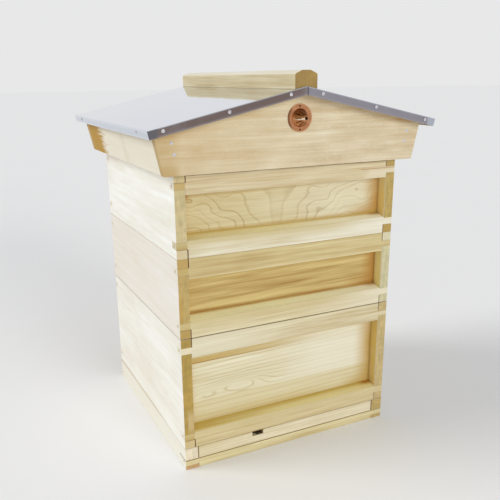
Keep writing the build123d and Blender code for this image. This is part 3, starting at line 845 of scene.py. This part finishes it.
def ease(node):
    """Rounds the long sharp edges of a CAD node as sawn and sanded edges are."""
    weld = node.modifiers.new("weld", "WELD")
    weld.merge_threshold = 0.00002
    flat = node.modifiers.new("flat", "DECIMATE")
    flat.decimate_type = "DISSOLVE"
    flat.angle_limit = radians(1)
    mark = node.modifiers.new("long edges", "NODES")
    mark.node_group = long_edges
    round_over = node.modifiers.new("round over", "BEVEL")
    round_over.width = EDGE_ROUND
    round_over.segments = 2
    round_over.limit_method = "WEIGHT"
    round_over.harden_normals = True
    close = node.modifiers.new("close", "WELD")
    close.merge_threshold = 0.00001


for name in woods:
    ease(nodes[name])


def add_piece(name, points, faces, finish):
    """Puts a new piece with one finish into the scene."""
    mesh = bpy.data.meshes.new(name)
    mesh.from_pydata(points, [], faces)
    mesh.materials.append(finish)
    piece = bpy.data.objects.new(name, mesh)
    scene.collection.objects.link(piece)
    return piece


def tube_faces(start, rows, sides):
    """The faces of a closed tube whose points go round it, row after row, from a first point on."""
    faces = []
    last = start + (rows - 1) * sides
    for row in range(start, last, sides):
        for side in range(sides):
            after = (side + 1) % sides
            faces.append((row + side, row + after, row + sides + after, row + sides + side))
    faces.append(tuple(reversed(range(start, start + sides))))
    faces.append(tuple(range(last, last + sides)))
    return faces


def turned_heads(name, profile, spots, finish):
    """Small turned heads in one piece, each a profile of radius and height round a spot's outward axis."""
    sides = 16
    points = []
    faces = []
    for spot, outward in spots:
        turn = Vector(outward).to_track_quat("Z", "Y")
        faces += tube_faces(len(points), len(profile), sides)
        for radius, height in profile:
            for step in range(sides):
                angle = 2 * pi * step / sides
                point = Vector((radius * cos(angle), radius * sin(angle), height))
                points.append(Vector(spot) + turn @ point)
    return add_piece(name, points, faces, finish)


def wire_cloth(name, node, pitch, radius, finish):
    """Woven wire in place of a CAD mesh: each wire goes over one crossing wire and under the next."""
    low, high = (Vector(corner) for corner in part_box(node))
    span = high - low
    points = []
    faces = []
    for along, across in ((0, 1), (1, 0)):
        turn = 1 - 2 * along
        around = ((turn, 0), (0, 1), (-turn, 0), (0, -1))
        steps = round(span[along] / pitch)
        wires = round(span[across] / pitch)
        for number in range(wires + 1):
            faces += tube_faces(len(points), steps + 1, len(around))
            for step in range(steps + 1):
                over = radius if (number + step + along) % 2 else -radius
                for aside, lift in around:
                    point = low + span / 2
                    point[along] = low[along] + span[along] * step / steps
                    point[across] += (span[across] - 2 * radius) * (number / wires - 0.5) + radius * aside
                    point[2] += over + radius * lift
                    points.append(point)
    return add_piece(name, points, faces, finish)


# Pieces that only the scene has: the woven mesh, the pins of the vents and the nails of the floor
mesh_cloth = wire_cloth("mesh_cloth", "floor_mesh", pitch=0.005, radius=0.00035, finish=mesh_steel)
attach(mesh_cloth, "floor")
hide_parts("floor_mesh")

PIN_RISE = 0.0202
pin_profile = [(0.0017, -0.0004), (0.0017, 0.0003), (0.0014, 0.0007), (0.0007, 0.0009)]
pin_spots = [
    ((0, side * VENT_FACE, VENT_HEIGHT + rise), (0, side, 0))
    for side in (-1, 1)
    for rise in (-PIN_RISE, PIN_RISE)
]
vent_pins = turned_heads("vent_pins", pin_profile, pin_spots, pin_copper)
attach(vent_pins, "roof")

NAIL_ALONG = 0.219
NAIL_HEIGHT = 0.0135
nail_profile = [(0.0019, -0.0006), (0.0019, 0.0002), (0.0015, 0.0005)]
nail_spots = [
    ((side * HALF, end * NAIL_ALONG, NAIL_HEIGHT), (side, 0, 0))
    for side in (-1, 1)
    for end in (-1, 1)
]
floor_nails = turned_heads("floor_nails", nail_profile, nail_spots, wall_nail_steel)
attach(floor_nails, "floor")

# Studio floor
ground = Surface("studio floor", {"Specular IOR Level": 0.0})
mottle = ground.wire.noise(ground.place[0] * 2, ground.place[1] * 2, 0.0)
ground.colour((0.5 + mottle).clamp().blend(linear((248, 248, 247)), linear((246, 246, 245))))
ground.roughness(1.0)
FAR = 40
ground_corners = [(-FAR, -FAR, 0), (FAR, -FAR, 0), (FAR, FAR, 0), (-FAR, FAR, 0)]
studio_floor = add_piece("studio floor", ground_corners, [(0, 1, 2, 3)], ground.material)

# Studio light: one sky lights the hive, another is seen behind it and in its metal
world = bpy.data.worlds.new("studio")
scene.world = world
world.use_nodes = True
sky_tree = world.node_tree
path = sky_tree.nodes.new("ShaderNodeLightPath").outputs
seen = (Wire(sky_tree, path["Is Camera Ray"]) + Wire(sky_tree, path["Is Glossy Ray"])).clamp()
light_sky = seen.add("Background", {}, {"Color": linear((250, 251, 255)), "Strength": 0.55})
seen_sky = seen.add("Background", {}, {"Color": linear((232, 232, 233)), "Strength": 1.0})
sky = seen.add("MixShader", {}, {0: seen, 1: light_sky, 2: seen_sky})
sky.plug(sky_tree.nodes["World Output"].inputs["Surface"], sky)


def sun(name, towards, strength, spread, tint):
    """An even lamp that shines from that direction on everything."""
    data = bpy.data.lights.new(name, "SUN")
    data.energy = strength * pi
    data.angle = radians(spread)
    data.color = tint
    light = bpy.data.objects.new(name, data)
    scene.collection.objects.link(light)
    light.visible_glossy = False
    light.rotation_euler = (-Vector(towards)).to_track_quat("-Z", "Y").to_euler()


sun("left lamp", (-0.80, 0.30, 0.52), strength=0.425, spread=30, tint=(1.0, 1.0, 0.99))
sun("front lamp", (0.18, -1.0, 0.24), strength=0.382, spread=24, tint=(1.0, 0.99, 0.97))

# Camera
eye = Vector((-0.5769, -1.2342, 0.7218))
aim = Vector((0.0220, 0.0, 0.2947))
roll = radians(-0.51)
view = bpy.data.cameras.new("photo view")
view.lens = 45.57
view.sensor_width = 36
view.shift_y = 0.05
camera = bpy.data.objects.new("photo view", view)
scene.collection.objects.link(camera)
turn = (aim - eye).to_track_quat("-Z", "Y").to_matrix() @ Matrix.Rotation(roll, 3, "Z")
camera.matrix_world = Matrix.Translation(eye) @ turn.to_4x4()
scene.camera = camera
scene.view_settings.view_transform = "Standard"
